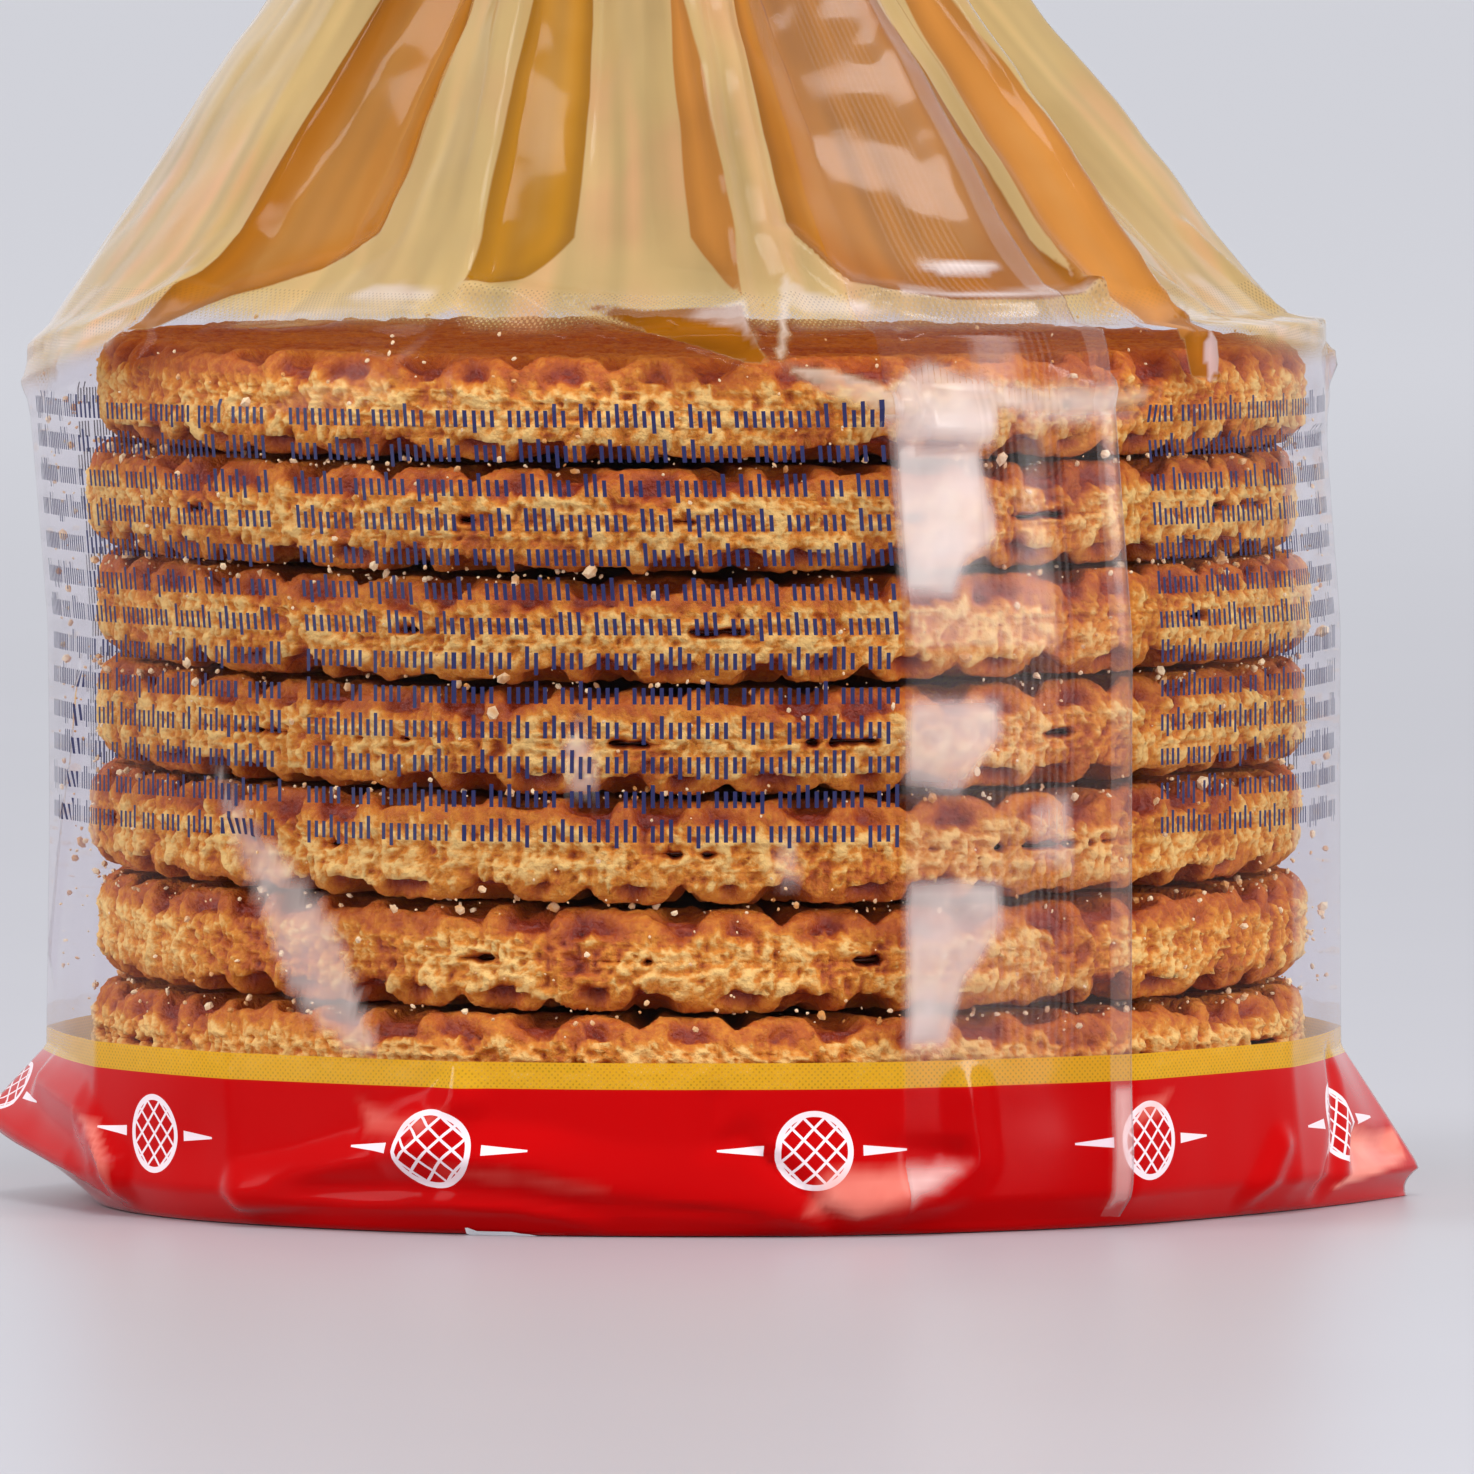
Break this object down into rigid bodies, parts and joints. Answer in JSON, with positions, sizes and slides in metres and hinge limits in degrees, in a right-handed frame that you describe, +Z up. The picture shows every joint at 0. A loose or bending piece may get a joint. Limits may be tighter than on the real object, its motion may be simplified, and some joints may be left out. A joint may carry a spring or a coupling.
{
  "type": "bag of stroopwafels",
  "caption": "Round clear film bag filled with a stack of thin caramel waffles, flat at the base and gathered into a tied neck with a ruffle on top.",
  "frame": {"origin": "middle of the flat base, on the surface the bag stands on", "axes": "+Z up, -Y towards the side with the lap seam, +X to the right seen from that side"},
  "size_m": [0.1001, 0.0897, 0.1401],
  "materials": {
    "bag_film": "clear glossy film with a red band, a yellow stripe and a cream top, over golden waffles",
    "tie": "gold foil strip over a wire",
    "waffle": "baked golden crumb with a browner, slightly greasy crust",
    "caramel": "dark glossy syrup"
  },
  "bodies": {
    "root": {"filled_bag": "bag_film", "twist_tie": "tie"}
  },
  "joints": []
}
